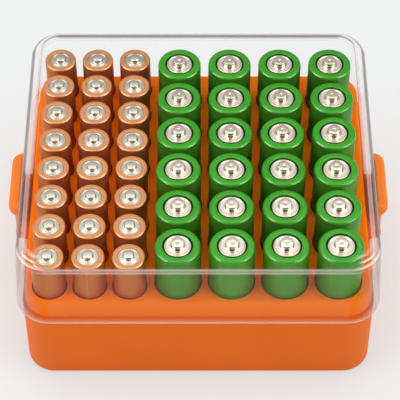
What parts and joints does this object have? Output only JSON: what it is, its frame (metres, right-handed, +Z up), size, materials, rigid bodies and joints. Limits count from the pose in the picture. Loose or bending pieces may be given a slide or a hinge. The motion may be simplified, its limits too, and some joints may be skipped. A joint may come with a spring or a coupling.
{
  "type": "battery storage case",
  "caption": "Lidded battery case: orange tub, tray of round wells holding upright large and small cells, clear lift-off lid, and a hinged clip on each side.",
  "frame": {"origin": "middle of the tub's underside", "axes": "+Z up, +X from the small cells to the large cells, -Y to the front"},
  "size_m": [0.1238, 0.1046, 0.0576],
  "materials": {
    "tub_plastic": "moulded orange plastic, semi-gloss",
    "tray_plastic": "moulded orange plastic, semi-gloss",
    "clip_plastic": "moulded orange plastic, semi-gloss",
    "clear_plastic": "water-clear, glossy",
    "hinge_pin_steel": "plain",
    "large_cell_jacket": "green printed metallic film",
    "small_cell_jacket": "copper-coloured metallic film",
    "cell_button_metal": "nickel-plated steel"
  },
  "bodies": {
    "case": {"base_tub": "tub_plastic", "battery_tray": "tray_plastic", "right_hinge_pin": "hinge_pin_steel", "left_hinge_pin": "hinge_pin_steel", "aa_cells_1": "large_cell_jacket", "aa_cells_2": "large_cell_jacket", "aa_cells_3": "large_cell_jacket", "aa_cells_4": "large_cell_jacket", "aa_buttons_1": "cell_button_metal", "aa_buttons_2": "cell_button_metal", "aa_buttons_3": "cell_button_metal", "aa_buttons_4": "cell_button_metal", "aaa_cells_1": "small_cell_jacket", "aaa_cells_2": "small_cell_jacket", "aaa_cells_3": "small_cell_jacket", "aaa_buttons_1": "cell_button_metal", "aaa_buttons_2": "cell_button_metal", "aaa_buttons_3": "cell_button_metal"},
    "lid": {"clear_lid": "clear_plastic"},
    "right_clip_body": {"right_clip": "clip_plastic"},
    "left_clip_body": {"left_clip": "clip_plastic"}
  },
  "joints": [
    {"name": "lid_lift", "type": "slide", "parent": "case", "child": "lid", "axis": [0, 0, 1], "range_m": [0, 0.03]},
    {"name": "right_clip_swing", "type": "hinge", "parent": "case", "child": "right_clip_body", "pos_m": [0.05825, 0, 0.025], "axis": [0, 1, 0], "range_deg": [0, 110]},
    {"name": "left_clip_swing", "type": "hinge", "parent": "case", "child": "left_clip_body", "pos_m": [-0.05825, 0, 0.025], "axis": [0, -1, 0], "range_deg": [0, 110]}
  ]
}
